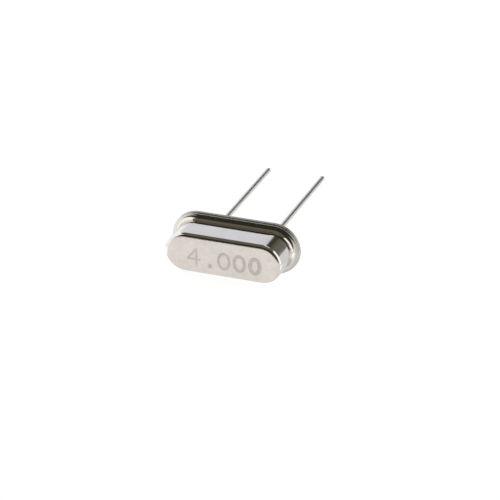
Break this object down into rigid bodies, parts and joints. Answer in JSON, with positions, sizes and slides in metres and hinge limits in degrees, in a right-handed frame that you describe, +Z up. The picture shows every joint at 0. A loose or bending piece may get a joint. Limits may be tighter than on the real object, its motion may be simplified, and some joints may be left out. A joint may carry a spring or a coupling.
{
  "type": "crystal oscillator",
  "caption": "Low round-ended metal can welded to a flanged base with straight wire leads, holding a quartz strip on clips, lying on its broad side.",
  "frame": {"origin": "centre of the board seat: the point midway between the leads on the base's flat underside", "axes": "the crystal lies on its flange's lower edge and on the can's lower top edge; +X along the can, +Y the way the leads run, level with the floor, and +Z up. The leads rise by 10.14 degrees from +Y, and the can's top faces -Y"},
  "size_m": [0.011, 0.017, 0.0048],
  "materials": {
    "can_metal": "satin",
    "base_metal": "satin",
    "lead_wire": "satin",
    "seal_glass": "gloss",
    "clip_metal": "satin",
    "quartz": "gloss",
    "silver_film": "gloss",
    "adhesive": "matte"
  },
  "bodies": {
    "root": {"can": "can_metal", "base": "base_metal", "glass_seal_left": "seal_glass", "glass_seal_right": "seal_glass", "lead_left": "lead_wire", "lead_right": "lead_wire", "clip_left": "clip_metal", "clip_right": "clip_metal", "quartz_blank": "quartz", "upper_electrode": "silver_film", "lower_electrode": "silver_film", "adhesive_left": "adhesive", "adhesive_right": "adhesive"}
  },
  "joints": []
}
